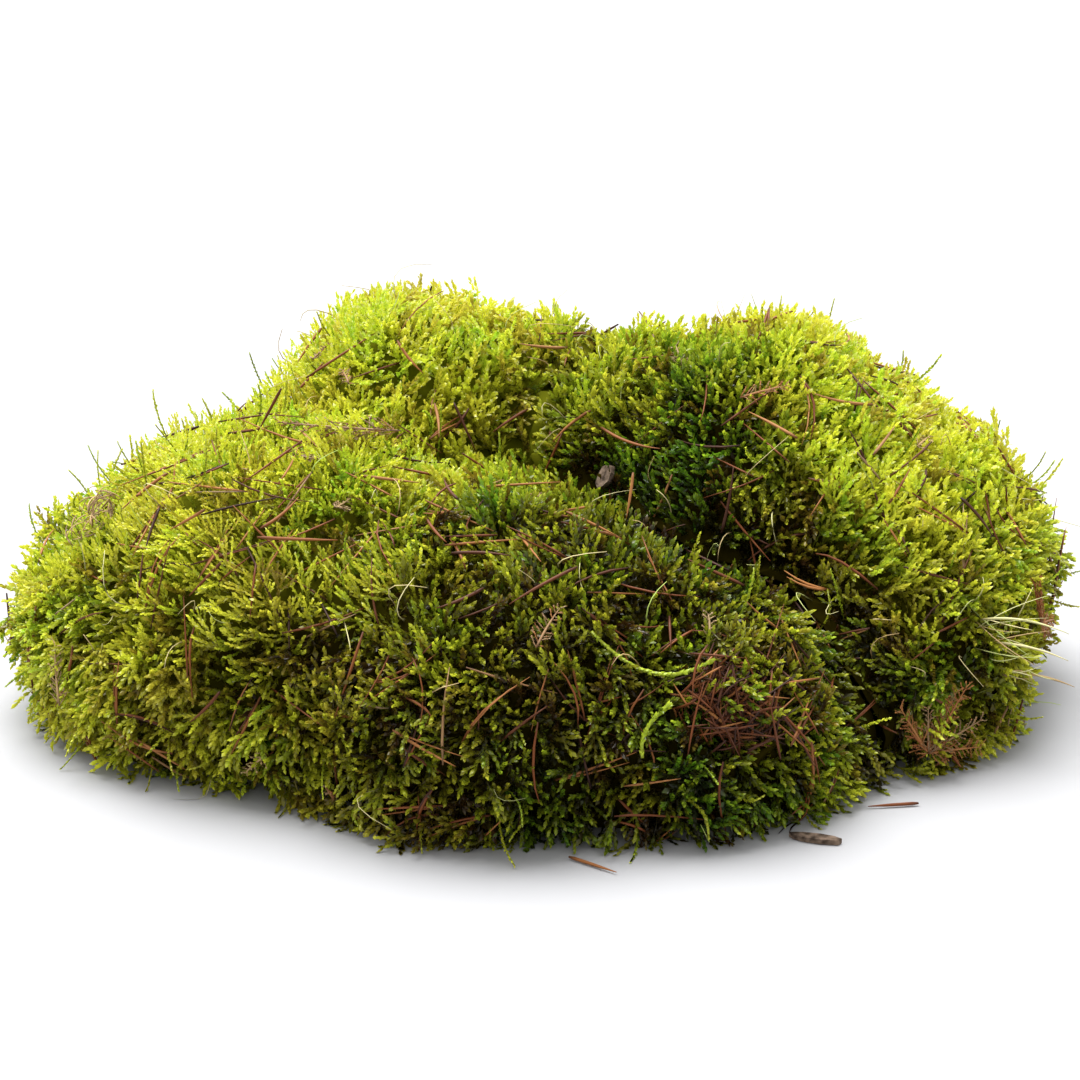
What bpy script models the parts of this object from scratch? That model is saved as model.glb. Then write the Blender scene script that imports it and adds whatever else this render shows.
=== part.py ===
"""A clump of feather moss, about 285 mm across: two cushions pressed together, with forest litter on them.

Each cushion is a solid that reaches the tips of its shoots. Conifer needles, dry sprigs, loose shoots, grass
blades and flakes of bark rest on the cushions, and a pad of old needles fills a pocket in the front one.
Units are metres, +Z is up, and the clump rests on z = 0 with the middle of its box over the origin.
"""

import math
import random

import bmesh
import bpy
from mathutils import Matrix, Vector
from mathutils.bvhtree import BVHTree

SEED = 7
MM = 0.001

# Driving dimensions
VOXEL = 0.0094  # facet size of a cushion
LUMP_SIZE = 0.030  # spacing of the lumps on a cushion
LUMP_HEIGHT = 0.009
GAP = 0.0010  # between cushions, and around the litter pad
CLEAR = 0.0005  # between the moss and what rests on it
SPACING = 0.001  # a piece is tested against the moss this often along its length
TABLE_THICKNESS = 0.1
TABLE_SIDE = 0.6
NEEDLE_RADIUS = 0.00055
TUBE_SIDES = 6
SPRIG_RADIUS = 0.0007
SHOOT_RADIUS = 0.0011
BLADE_RADIUS = 0.0008
LEAF_THICKNESS = 0.0007
FAR = 0.4  # start of a line that looks for the moss
STEP = 0.0002  # a piece is moved out of the moss by this at a time
APART = 0.003  # least distance between needles
OFF_TABLE = 0.2  # millimetres under the pieces by the foot
MOST_STEPS = 120

# Litter comes down on the front of the clump at this slope
SLOPE = math.radians(21)
DOWN_BACK = Vector((0, math.cos(SLOPE), -math.sin(SLOPE)))
RISE = Vector((0, math.sin(SLOPE), math.cos(SLOPE)))
ACROSS = Vector((1, 0, 0))

# Each mound is a centre and three radii, in millimetres
LEFT_MOUNDS = [
    ((-104, -10, 23), (39, 50, 34)),
    ((-92, -35, 13), (35, 36, 26)),
    ((-66, -20, 29), (56, 64, 51)),
    ((-14, -43, 22), (60, 68, 49)),
    ((36, -57, 15), (43, 49, 40)),
    ((58, -58, 8), (29, 34, 24)),
    ((-92, 30, 32), (29, 34, 35)),
    ((-41, 50, 42), (36, 46, 57)),
    ((-6, 58, 38), (42, 44, 49)),
    ((-32, 8, 24), (46, 44, 35)),
]
RIGHT_MOUNDS = [
    ((62, 22, 40), (54, 60, 56)),
    ((28, 40, 42), (44, 46, 46)),
    ((88, 4, 34), (52, 56, 44)),
    ((88, -24, 14), (43, 41, 36)),
]

# Pocket of old needles: centre and radii, in millimetres
LITTER_CENTRE = (46, -93, 36)
LITTER_RADII = (10, 9, 11)

# Lying pieces: millimetres across and up the slope, angle in degrees, length in millimetres
NEEDLES = [
    (6, 6, -28, 20),
    (-20, 24, 39, 13),
    (0, 27, 42, 21),
    (24, 65, -29, 23),
    (12, 42, -33, 14),
    (29, 48, 88, 12),
    (18, 12, -21, 12),
    (-58, 70, 32, 10),
    (-52, 67, 38, 12),
    (-61, 38, 2, 20),
    (-66, 45, 47, 14),
    (-98, 41, -70, 12),
    (-88, 43, 6, 12),
    (-64, 92, 84, 12),
    (-36, 88, -58, 12),
    (0, 92, 12, 14),
    (-9, 71, 34, 12),
    (-15, 34, -20, 15),
    (60, 68, -40, 16),
    (92, 52, 65, 14),
    (112, 44, -62, 13),
]
STRAY_NEEDLES = 14
STRAY_LENGTH = (11, 19)
DRY_SPRIGS = [
    (-53, 67, -8, 32, 7),
    (-124, 4, 100, 16, 4),
    (1, 17, 62, 13, 4),
    (58, 77, 20, 13, 4),
    (103, -7, 62, 20, 6),
    (128, 22, 25, 14, 4),
]
LOOSE_SHOOTS = [
    ((12, 15), (26, 4), (41, 8)),
    ((30, -2), (24, -7), (24, -14)),
]

# Pieces that spring out: where they leave the moss, direction and length in millimetres
GRASS_BLADES = [
    ((112, 18), (0.75, -0.45, 0.30), 25, 7),
    ((116, 12), (0.85, -0.40, 0.12), 19, 4),
    ((122, 4), (0.90, -0.10, -0.02), 15, 3),
]
STANDING_NEEDLES = [
    ((-74, 66), (0.45, -0.10, 0.85), 14, 0),
    ((104, -16), (0.25, -0.90, 0.10), 8, 1),
]

# Flakes: millimetres across and up the slope, length, width and thickness
BARK_FLAKE = ((18, 55), (9, 7, 1.2))
DEAD_LEAF = ((-116, 43), (13, 9))
# Pieces by the foot of the clump: centre on the table, turn in degrees, length, width and thickness
BARK_SLIVER = ((67, -99), -14, (15, 4, 1.3))
FOOT_NEEDLES = [((12, -113), -36, 14), ((88, -80), 8, 13)]


def clear_scene():
    for obj in list(bpy.data.objects):
        bpy.data.objects.remove(obj, do_unlink=True)


def material(name, colour, roughness):
    made = bpy.data.materials.new(name)
    made.use_nodes = True
    shader = made.node_tree.nodes["Principled BSDF"]
    shader.inputs["Base Color"].default_value = (*colour, 1)
    shader.inputs["Roughness"].default_value = roughness
    return made


def add_object(name, data, finish, clump):
    obj = bpy.data.objects.new(name, data)
    bpy.context.scene.collection.objects.link(obj)
    obj.parent = clump
    if finish:
        data.materials.append(finish)
    return obj


def add_mesh(name, bm, finish, clump):
    bmesh.ops.recalc_face_normals(bm, faces=bm.faces)
    mesh = bpy.data.meshes.new(name)
    bm.to_mesh(mesh)
    bm.free()
    return add_object(name, mesh, finish, clump)


def make_helper(obj):
    obj.hide_render = True
    obj.display_type = "WIRE"
    return obj


def cut(obj, cutter, operation="DIFFERENCE"):
    boolean = obj.modifiers.new(f"{operation.lower()} {cutter.name}", "BOOLEAN")
    boolean.operation = operation
    boolean.solver = "EXACT"
    boolean.object = cutter


# Cushions


def ball_mesh(balls, subdivisions):
    bm = bmesh.new()
    for centre, radii in balls:
        place = Matrix.Translation(Vector(centre) * MM)
        size = Matrix.Diagonal((*(Vector(radii) * MM), 1))
        bmesh.ops.create_icosphere(bm, subdivisions=subdivisions, radius=1, matrix=place @ size)
    return bm


def fused(name, mounds, lumps, swell, finish, clump):
    """The mounds joined into one lumpy skin, swollen by a little where it serves as a cutter."""
    obj = add_mesh(name, ball_mesh(mounds, 4), finish, clump)
    remesh = obj.modifiers.new("fuse", "REMESH")
    remesh.mode = "VOXEL"
    remesh.voxel_size = VOXEL
    smooth = obj.modifiers.new("soften", "SMOOTH")
    smooth.iterations = 3
    displace = obj.modifiers.new("lumps", "DISPLACE")
    displace.texture = lumps
    displace.strength = LUMP_HEIGHT
    if swell:
        outward = obj.modifiers.new("swell", "DISPLACE")
        outward.mid_level = 0
        outward.strength = swell
    return obj


def make_table(clump):
    """The surface that the clump stands on, as a cutter."""
    bm = bmesh.new()
    place = Matrix.Translation((0, 0, -TABLE_THICKNESS / 2))
    size = Matrix.Diagonal((TABLE_SIDE, TABLE_SIDE, TABLE_THICKNESS, 1))
    bmesh.ops.create_cube(bm, size=1, matrix=place @ size)
    return make_helper(add_mesh("table", bm, None, clump))


def make_cushions(moss, litter, clump):
    """The two cushions, and the pad of old needles in its pocket."""
    lumps = bpy.data.textures.new("lumps", "CLOUDS")
    lumps.noise_scale = LUMP_SIZE
    table = make_table(clump)
    left = fused("left_cushion", LEFT_MOUNDS, lumps, 0, moss, clump)
    right = fused("right_cushion", RIGHT_MOUNDS, lumps, 0, moss, clump)
    left_space = make_helper(fused("left_space", LEFT_MOUNDS, lumps, GAP, None, clump))
    left_whole = make_helper(fused("left_whole", LEFT_MOUNDS, lumps, 0, None, clump))
    pocket_radii = [radius + GAP / MM for radius in LITTER_RADII]
    pocket = ball_mesh([(LITTER_CENTRE, pocket_radii)], 2)
    pocket = make_helper(add_mesh("pocket", pocket, None, clump))
    cut(left, table)
    cut(left, pocket)
    cut(right, table)
    cut(right, left_space)
    pad = add_mesh("needle_litter", ball_mesh([(LITTER_CENTRE, LITTER_RADII)], 2), litter, clump)
    cut(pad, left_whole, "INTERSECT")
    return left, right, pad


# Finding the moss


def skins_of(objects):
    graph = bpy.context.evaluated_depsgraph_get()
    return [BVHTree.FromObject(obj, graph) for obj in objects]


def land(skins, across, up):
    """The point and normal where litter comes down, this far across and up the slope in millimetres."""
    start = (ACROSS * across + RISE * up) * MM - DOWN_BACK * FAR
    hits = [skin.ray_cast(start, DOWN_BACK) for skin in skins]
    hits = [hit for hit in hits if hit[0] is not None]
    point, normal, _, _ = min(hits, key=lambda hit: hit[3])
    return point, normal


def room(skins, point):
    """Distance to the nearest skin, or zero inside one."""
    best = FAR
    for skin in skins:
        _, normal, _, _ = skin.ray_cast(point, RISE)
        if normal and normal.dot(RISE) > 0:
            return 0
        best = min(best, skin.find_nearest(point)[3])
    return best


def between(points, spacing):
    """The points with others added along each stretch."""
    dense = [points[0]]
    for start, end in zip(points, points[1:]):
        count = max(1, round((end - start).length / spacing))
        dense += [start.lerp(end, i / count) for i in range(1, count + 1)]
    return dense


def lift_for(skins, points, normal, clearance):
    """How far the points have to move together, partly back the way they came, before they clear the moss."""
    out = (normal - DOWN_BACK).normalized()
    for i in range(MOST_STEPS):
        shift = out * STEP * i
        if all(room(skins, point + shift) > clearance for point in points):
            return shift
    return out * STEP * MOST_STEPS


def frame_on(skins, across, up, angle):
    """A placing matrix on the moss: X along the piece, Z outwards."""
    point, normal = land(skins, across, up)
    heading = ACROSS * math.cos(math.radians(angle)) + RISE * math.sin(math.radians(angle))
    side = normal.cross(heading).normalized()
    along = side.cross(normal)
    turn = Matrix((along, side, normal)).transposed().to_4x4()
    return Matrix.Translation(point) @ turn


# Thin pieces


def add_tube(bm, points, radii):
    """A closed tube through the points."""
    upright = abs((points[-1] - points[0]).normalized().z) > 0.8
    guide = ACROSS if upright else Vector((0, 0, 1))
    rings = []
    for i, (point, radius) in enumerate(zip(points, radii)):
        along = (points[min(i + 1, len(points) - 1)] - points[max(i - 1, 0)]).normalized()
        side = along.cross(guide).normalized() * radius
        turns = [Matrix.Rotation(2 * math.pi * k / TUBE_SIDES, 3, along) for k in range(TUBE_SIDES)]
        rings.append([bm.verts.new(point + turn @ side) for turn in turns])
    for low, high in zip(rings, rings[1:]):
        for k in range(TUBE_SIDES):
            after = (k + 1) % TUBE_SIDES
            bm.faces.new((low[k], low[after], high[after], high[k]))
    bm.faces.new(rings[0][::-1])
    bm.faces.new(rings[-1])


def tube(name, points, radii, finish, clump):
    bm = bmesh.new()
    add_tube(bm, points, radii)
    return add_mesh(name, bm, finish, clump)


def spindle(count, radius):
    """Radii of a needle: blunt at the foot, sharp at the tip."""
    return [radius * (1 - 0.65 * (i / (count - 1)) ** 2) for i in range(count)]


def is_free(points, placed):
    return all((a - b).length > APART for a in points for b in placed)


def lying_needle(name, skins, spot, finish, placed, rng, clump):
    """A slightly bent needle laid on the moss. Returns False where another piece is in the way."""
    across, up, angle, length = spot
    place = frame_on(skins, across, up, angle)
    bend = rng.uniform(-0.06, 0.06)
    steps = [i / 4 - 0.5 for i in range(5)]
    points = [place @ (Vector((length * s, bend * length * (1 - 4 * s * s), 0)) * MM) for s in steps]
    out = place.col[2].xyz
    shift = lift_for(skins, between(points, SPACING), out, NEEDLE_RADIUS + CLEAR)
    points = [point + shift for point in points]
    dense = between(points, SPACING)
    if not is_free(dense, placed):
        return False
    placed += dense
    tube(name, points, spindle(len(points), NEEDLE_RADIUS), finish, clump)
    return True


def make_needles(skins, finish, placed, clump):
    rng = random.Random(SEED)
    count = 0
    for spot in NEEDLES:
        count += lying_needle(f"conifer_needle_{count + 1:02}", skins, spot, finish, placed, rng, clump)
    wanted = count + STRAY_NEEDLES
    while count < wanted:
        spot = (rng.uniform(-110, 115), rng.uniform(-8, 80), rng.uniform(-80, 80), rng.uniform(*STRAY_LENGTH))
        count += lying_needle(f"conifer_needle_{count + 1:02}", skins, spot, finish, placed, rng, clump)
    for (across, up), heading, length, droop in STANDING_NEEDLES:
        count += 1
        points = spring_points(skins, across, up, heading, length, droop, NEEDLE_RADIUS)
        placed += between(points, SPACING)
        tube(f"conifer_needle_{count:02}", points, spindle(len(points), NEEDLE_RADIUS), finish, clump)
    for centre, turn, length in FOOT_NEEDLES:
        count += 1
        points = foot_points(centre, turn, length)
        tube(f"conifer_needle_{count:02}", points, spindle(len(points), NEEDLE_RADIUS), finish, clump)


def foot_points(centre, turn, length):
    """A short needle on the table by the foot of the clump."""
    middle = Vector((*centre, NEEDLE_RADIUS / MM + OFF_TABLE)) * MM
    heading = Vector((math.cos(math.radians(turn)), math.sin(math.radians(turn)), 0))
    return [middle + heading * length * MM * (i / 3 - 0.5) for i in range(4)]


def spring_points(skins, across, up, heading, length, droop, radius):
    """A piece that leaves the moss and droops towards its tip."""
    start, normal = land(skins, across, up)
    heading = Vector(heading).normalized()
    steps = [i / 5 for i in range(6)]
    points = [start + (heading * length * s - Vector((0, 0, droop * s * s))) * MM for s in steps]
    shift = lift_for(skins, between(points, SPACING), normal, radius + CLEAR)
    return [point + shift for point in points]


def make_blades(skins, finish, placed, clump):
    for i, ((across, up), heading, length, droop) in enumerate(GRASS_BLADES):
        points = spring_points(skins, across, up, heading, length, droop, BLADE_RADIUS)
        placed += between(points, SPACING)
        tube(f"grass_blade_{i + 1}", points, spindle(len(points), BLADE_RADIUS), finish, clump)


def make_loose_shoots(skins, finish, placed, clump):
    """Long limp shoots that follow the front of the moss."""
    for i, corners in enumerate(LOOSE_SHOOTS):
        line = between([Vector((*corner, 0)) for corner in corners], 3)
        points = [land(skins, spot.x, spot.y)[0] for spot in line]
        for _ in range(2):
            middle = [(a + 2 * b + c) / 4 for a, b, c in zip(points, points[1:], points[2:])]
            points = [points[0], *middle, points[-1]]
        normal = land(skins, *corners[1])[1]
        shift = lift_for(skins, between(points, SPACING), normal, SHOOT_RADIUS + CLEAR)
        points = [point + shift for point in points]
        placed += between(points, SPACING)
        tube(f"loose_shoot_{i + 1}", points, spindle(len(points), SHOOT_RADIUS), finish, clump)


def make_dry_sprigs(skins, finish, placed, clump):
    """Flat feathery sprigs: a stem with short twigs to either side by turns."""
    for i, (across, up, angle, length, twigs) in enumerate(DRY_SPRIGS):
        place = frame_on(skins, across, up, angle)
        stem = [Vector((length * (s / (twigs + 1) - 0.5), 0, 0)) for s in range(twigs + 2)]
        stem = [place @ (point * MM) for point in stem]
        out = place.col[2].xyz
        arms = []
        for s in range(1, twigs + 1):
            reach = 0.30 * length * (1 - 0.6 * s / twigs)
            side = 1 if s % 2 else -1
            arms.append([stem[s], stem[s] + place.to_3x3() @ Vector((0.7 * reach, side * reach, 0)) * MM])
        spots = [spot for line in (stem, *arms) for spot in between(line, SPACING)]
        shift = lift_for(skins, spots, out, SPRIG_RADIUS + CLEAR)
        placed += [spot + shift for spot in spots]
        stem = [point + shift for point in stem]
        sprig = tube(f"dry_sprig_{i + 1}", stem, spindle(len(stem), SPRIG_RADIUS), finish, clump)
        bm = bmesh.new()
        for arm in arms:
            add_tube(bm, [point + shift for point in arm], (0.8 * SPRIG_RADIUS, 0.4 * SPRIG_RADIUS))
        cut(sprig, make_helper(add_mesh(f"twigs_{i + 1}", bm, None, clump)), "UNION")


# Flat pieces


def flake_mesh(size, rng):
    """An uneven flake of bark, lying in its own XY plane."""
    bm = bmesh.new()
    corners = []
    for i in range(9):
        turn = 2 * math.pi * i / 9
        reach = rng.uniform(0.38, 0.5)
        corners.append(Vector((math.cos(turn) * size[0], math.sin(turn) * size[1], 0)) * reach * MM)
    base = bm.faces.new([bm.verts.new(corner) for corner in corners])
    raised = bmesh.ops.extrude_face_region(bm, geom=[base])["geom"]
    for corner in raised:
        if isinstance(corner, bmesh.types.BMVert):
            corner.co.z = size[2] * MM
    return bm


def leaf_mesh(size):
    """A dead leaf, curled up at its sides, as one bent sheet."""
    bm = bmesh.new()
    rows = []
    for i in range(7):
        along = i / 6
        half = size[1] / 2 * math.sin(math.pi * (0.06 + 0.88 * along)) ** 0.8
        row = []
        for across in (-1, -0.5, 0, 0.5, 1):
            curl = size[1] * 0.22 * across * across + size[0] * 0.3 * (along - 0.5) ** 2
            row.append(bm.verts.new(Vector((size[0] * (along - 0.5), half * across, curl)) * MM))
        rows.append(row)
    for low, high in zip(rows, rows[1:]):
        for a, b, c, d in zip(low, low[1:], high[1:], high):
            bm.faces.new((a, b, c, d))
    return bm


def settle(obj, skins, place, thickness, placed):
    """Puts a flat piece on the moss, clear of it all over."""
    points = [place @ vert.co for vert in obj.data.vertices]
    shift = lift_for(skins, points, place.col[2].xyz, thickness + CLEAR)
    obj.matrix_local = Matrix.Translation(shift) @ place
    placed += [point + shift for point in points]


def make_flakes(skins, bark, dead, placed, clump):
    rng = random.Random(SEED)
    spot, size = BARK_FLAKE
    flake = add_mesh("bark_flake", flake_mesh(size, rng), bark, clump)
    settle(flake, skins, frame_on(skins, *spot, 20), 0, placed)
    spot, size = DEAD_LEAF
    leaf = add_mesh("dead_leaf", leaf_mesh(size), dead, clump)
    solidify = leaf.modifiers.new("thickness", "SOLIDIFY")
    solidify.thickness = LEAF_THICKNESS
    solidify.offset = 0
    settle(leaf, skins, frame_on(skins, *spot, 70), LEAF_THICKNESS, placed)
    centre, turn, size = BARK_SLIVER
    sliver = add_mesh("bark_sliver", flake_mesh(size, rng), bark, clump)
    place = Matrix.Translation(Vector((*centre, OFF_TABLE)) * MM)
    sliver.matrix_local = place @ Matrix.Rotation(math.radians(turn), 4, "Z")


def centre_over_origin(clump):
    """Moves the whole clump so that the middle of its box is over the origin."""
    graph = bpy.context.evaluated_depsgraph_get()
    corners = []
    for obj in clump.children:
        if not obj.hide_render:
            done = obj.evaluated_get(graph)
            corners += [done.matrix_world @ Vector(corner) for corner in done.bound_box]
    for axis in (0, 1):
        values = [corner[axis] for corner in corners]
        clump.location[axis] = -(min(values) + max(values)) / 2


def main():
    clear_scene()
    moss = material("moss", (0.16, 0.19, 0.02), 0.6)
    fresh = material("fresh_shoot", (0.30, 0.36, 0.10), 0.6)
    straw = material("straw", (0.42, 0.30, 0.12), 0.7)
    dry = material("dry_moss", (0.22, 0.10, 0.03), 0.8)
    needle = material("old_needle", (0.16, 0.045, 0.015), 0.5)
    litter = material("needle_litter", (0.12, 0.035, 0.012), 0.8)
    bark = material("bark", (0.18, 0.10, 0.06), 0.8)
    clump = bpy.data.objects.new("clump", None)
    bpy.context.scene.collection.objects.link(clump)
    left, right, pad = make_cushions(moss, litter, clump)
    skins = skins_of([left, right, pad])
    placed = []
    make_flakes(skins, bark, straw, placed, clump)
    make_dry_sprigs(skins, dry, placed, clump)
    make_loose_shoots(skins, fresh, placed, clump)
    make_blades(skins, straw, placed, clump)
    make_needles(skins, needle, placed, clump)
    centre_over_origin(clump)


main()
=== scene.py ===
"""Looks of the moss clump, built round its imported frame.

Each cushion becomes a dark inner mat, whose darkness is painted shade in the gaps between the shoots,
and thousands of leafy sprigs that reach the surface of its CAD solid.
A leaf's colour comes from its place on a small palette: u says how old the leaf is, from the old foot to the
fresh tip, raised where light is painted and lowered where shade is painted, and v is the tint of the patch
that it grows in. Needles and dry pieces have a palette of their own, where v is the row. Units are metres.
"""

import itertools
import math
from collections import namedtuple

import bpy
import numpy as np
from mathutils import Matrix, Vector, noise
from mathutils.bvhtree import BVHTree


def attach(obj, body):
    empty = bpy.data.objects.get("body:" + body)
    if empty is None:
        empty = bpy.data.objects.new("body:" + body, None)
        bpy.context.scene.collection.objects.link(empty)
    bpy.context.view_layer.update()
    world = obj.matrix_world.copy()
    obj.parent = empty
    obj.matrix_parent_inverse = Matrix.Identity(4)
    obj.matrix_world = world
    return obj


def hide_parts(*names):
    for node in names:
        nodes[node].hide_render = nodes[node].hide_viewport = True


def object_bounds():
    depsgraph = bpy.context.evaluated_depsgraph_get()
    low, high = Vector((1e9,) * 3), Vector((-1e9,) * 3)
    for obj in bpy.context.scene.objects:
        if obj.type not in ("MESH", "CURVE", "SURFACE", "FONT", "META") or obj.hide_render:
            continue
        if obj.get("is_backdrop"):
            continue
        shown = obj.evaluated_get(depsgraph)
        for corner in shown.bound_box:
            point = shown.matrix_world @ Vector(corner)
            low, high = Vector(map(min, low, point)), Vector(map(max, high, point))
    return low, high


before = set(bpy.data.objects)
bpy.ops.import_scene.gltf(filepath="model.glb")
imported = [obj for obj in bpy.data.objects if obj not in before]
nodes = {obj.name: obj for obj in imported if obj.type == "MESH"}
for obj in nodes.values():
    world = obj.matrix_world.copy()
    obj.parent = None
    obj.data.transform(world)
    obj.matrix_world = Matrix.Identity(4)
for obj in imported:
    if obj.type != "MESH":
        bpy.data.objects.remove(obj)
cad_low, cad_high = (np.array(corner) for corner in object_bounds())
SPAN = cad_high - cad_low

MM = 0.001
GOLDEN_TURN = math.radians(137.5)
PALETTE = "OFBake"  # the UV map that holds places on the palette
FLOOR_CLEARANCE = 0.0003

# Moss
SPRIG_LENGTH = 0.014
DEAD_SHARE = 0.05  # of all sprigs; in patches there are up to nine times as many
CREASE_WIDTH = 0.016  # sprigs nearer than this to the other cushion are darker, with painted shade
FOOT_HEIGHT = 0.014  # sprigs lower than this stand further out, over the table
MAT_DEPTH = 0.0075
WELD = 1e-5
TRIES = 9  # random points for each sprig's share of the surface
SIDE_ROOM = 0.0045  # no sprigs where a neighbour is nearer than this
LEAF_LENGTH = 0.0021
LEAF_WIDTH = 0.00125
WISPS = (150, 70)  # slender single shoots on the left and right cushions
LEFT_PARTS, RIGHT_PARTS = 5, 3  # meshes for each cushion's sprigs

# Conifer needles, and the pocket full of them
LOOSE_NEEDLES = (290, 170)  # on the left and right cushions
NEEDLE_RADIUS = 0.00044
THIN_NEEDLES = (0.00022, 0.00042)  # least and greatest radius of the loose ones
TWIN_SHARE = 0.3
LITTER_NEEDLES = 520
LITTER_SPRIGS = 24
LITTER_SINK = 0.0035
LITTER_FACES = np.array([0, -0.95, 0.3])

# Dry sprigs, blades, threads and the dead leaf
DRY_SPRIG_ROWS = {
    "dry_sprig_1": 0.53, "dry_sprig_2": 0.64, "dry_sprig_3": 0.52,
    "dry_sprig_4": 0.48, "dry_sprig_5": 0.40, "dry_sprig_6": 0.44,
}
SPRAYS = {"dry_sprig_5": 6, "dry_sprig_6": 4}  # more sprigs that grow from the same foot
SMALL_SPRIGS = (18, 14)  # on the left and right cushions
STEM_RADIUS = 0.00034
TWIG_RADIUS = 0.00016
TWIG_STEP = 0.00065
WITHERED = 0.42  # width of a withered leaf, as a share of a fresh one's
BLADE_ROWS = {"grass_blade_1": 0.84, "grass_blade_2": 0.80, "grass_blade_3": 0.62}
BLADE_RADIUS = 0.00036
FAN_STEMS = 6
THREADS = (90, 80)  # on the left and right cushions
HUSK_FIBRES = 70

# Camera and light
LENS = 106
SENSOR = 36
CAMERA_RISE = math.radians(21)
CAMERA_DISTANCE = 0.85
TARGET_HEIGHT = 0.0443
FLOOR_HALF = 6.0
FLOOR_COLOUR = (0.37, 0.37, 0.38)
ROOM_LIGHT = 0.98

# A layer of sprigs: how far apart and how deep they are, their side shoots, how their leaves look, and how
# much painted light and shade (gain) their colour takes
Layer = namedtuple("Layer", "seed spacing depth fingers age gain leaf_step leaf_scale crowned_from")
OUTER = Layer(1, 0.0038, 0.0, 4, 0.62, 0.28, 0.00060, 1.0, 0.65)
INNER = Layer(2, 0.0037, 0.0032, 3, 0.32, 0.50, 0.0009, 1.3, 1.0)

rng = np.random.default_rng(11)
noise.seed_set(11)  # noise_vector takes its seed from the clock unless it is set


def unit(vectors):
    return vectors / np.maximum(np.linalg.norm(vectors, axis=-1, keepdims=True), 1e-12)


def smooth(value, low, high):
    """0 below low, 1 above high, and a smooth rise between them."""
    t = np.clip((value - low) / (high - low), 0, 1)
    return t * t * (3 - 2 * t)


def share(points):
    """Places in the clump's box, from 0 to 1: left to right, front to back and bottom to top."""
    return (points - cad_low) / SPAN


def noise_places(points, size, seed):
    """Where the points fall in the noise; each seed reads another part of it."""
    shift = Vector((seed * 7.3, seed * 3.1, seed * 5.7))
    return [Vector(point) / size + shift for point in points]


def noise_vectors(points, size, seed):
    return np.array([noise.noise_vector(place) for place in noise_places(points, size, seed)])


def noise_values(points, size, seed):
    return np.array([noise.noise(place) for place in noise_places(points, size, seed)])


# Meshes


class Batch:
    """Many small shapes gathered into one mesh."""

    def __init__(self):
        self.points = []
        self.triangles = []
        self.palette = []
        self.count = 0

    def add(self, points, triangles, palette):
        """Copies of one small shape: points and palette are (copies, corners, 3 or 2)."""
        copies, corners = points.shape[:2]
        starts = self.count + corners * np.arange(copies)
        self.points.append(points.reshape(-1, 3))
        self.palette.append(palette.reshape(-1, 2))
        self.triangles.append((triangles[None] + starts[:, None, None]).reshape(-1, 3))
        self.count += copies * corners

    def build(self, name, material, stands_for=()):
        points = np.concatenate(self.points)
        points[:, 2] = np.maximum(points[:, 2], FLOOR_CLEARANCE)
        triangles = np.concatenate(self.triangles)
        palette = np.concatenate(self.palette)
        mesh = bpy.data.meshes.new(name)
        mesh.vertices.add(len(points))
        mesh.vertices.foreach_set("co", points.astype(np.float32).ravel())
        mesh.loops.add(triangles.size)
        mesh.loops.foreach_set("vertex_index", triangles.astype(np.int32).ravel())
        mesh.polygons.add(len(triangles))
        mesh.polygons.foreach_set("loop_start", 3 * np.arange(len(triangles), dtype=np.int32))
        mesh.polygons.foreach_set("use_smooth", np.ones(len(triangles), bool))
        mesh.update(calc_edges=True)
        layer = mesh.uv_layers.new(name=PALETTE)
        layer.data.foreach_set("uv", palette[triangles.ravel()].astype(np.float32).ravel())
        return place_piece(name, mesh, material, stands_for)


def place_piece(name, mesh, material, stands_for=()):
    obj = bpy.data.objects.new(name, mesh)
    bpy.context.scene.collection.objects.link(obj)
    mesh.materials.append(material)
    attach(obj, "root")
    if stands_for:
        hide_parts(*stands_for)
    return obj


def bezier(start, bend, end, t):
    """Points and directions on quadratic curves; t has a value for each curve."""
    t = t[..., None]
    point = (1 - t) ** 2 * start + 2 * t * (1 - t) * bend + t**2 * end
    return point, unit(2 * (1 - t) * (bend - start) + 2 * t * (end - bend))


def add_tubes(batch, paths, radii, palette, sides=3):
    """Closed thin tubes. Each station of each tube has a point, a radius and a place on the palette."""
    tubes, stations = paths.shape[:2]
    along = unit(np.gradient(paths, axis=1))
    guide = np.where(np.abs(along[:, :1, 2:]) > 0.8, (1.0, 0, 0), (0, 0, 1.0))
    side = unit(np.cross(along, guide))
    up = np.cross(side, along)
    turn = 2 * math.pi * np.arange(sides) / sides
    ring = side[:, :, None] * np.cos(turn)[:, None] + up[:, :, None] * np.sin(turn)[:, None]
    points = paths[:, :, None] + ring * radii[:, :, None, None]
    triangles = []
    for s in range(stations - 1):
        for k in range(sides):
            a, b = s * sides + k, s * sides + (k + 1) % sides
            triangles += [(a, b, b + sides), (a, b + sides, a + sides)]
    last = (stations - 1) * sides
    for k in range(1, sides - 1):
        triangles += [(0, k + 1, k), (last, last + k, last + k + 1)]
    tint = np.repeat(palette[:, :, None], sides, axis=2)
    corners = stations * sides
    batch.add(points.reshape(tubes, corners, 3), np.array(triangles), tint.reshape(tubes, corners, 2))


# A leaf is a small scale: foot, left edge, right edge, tip and crown. Leaves low on a shoot have no crown
LEAF_POINTS = np.array([(0, 0, 0), (-0.5, 0.5, -0.16), (0.5, 0.5, -0.16), (0, 1, -0.02), (0, 0.55, 0.16)])
CROWNED = np.array([(0, 4, 1), (0, 2, 4), (1, 4, 3), (4, 2, 3)])
FOLDED = np.array([(0, 3, 1), (0, 2, 3)])


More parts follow.
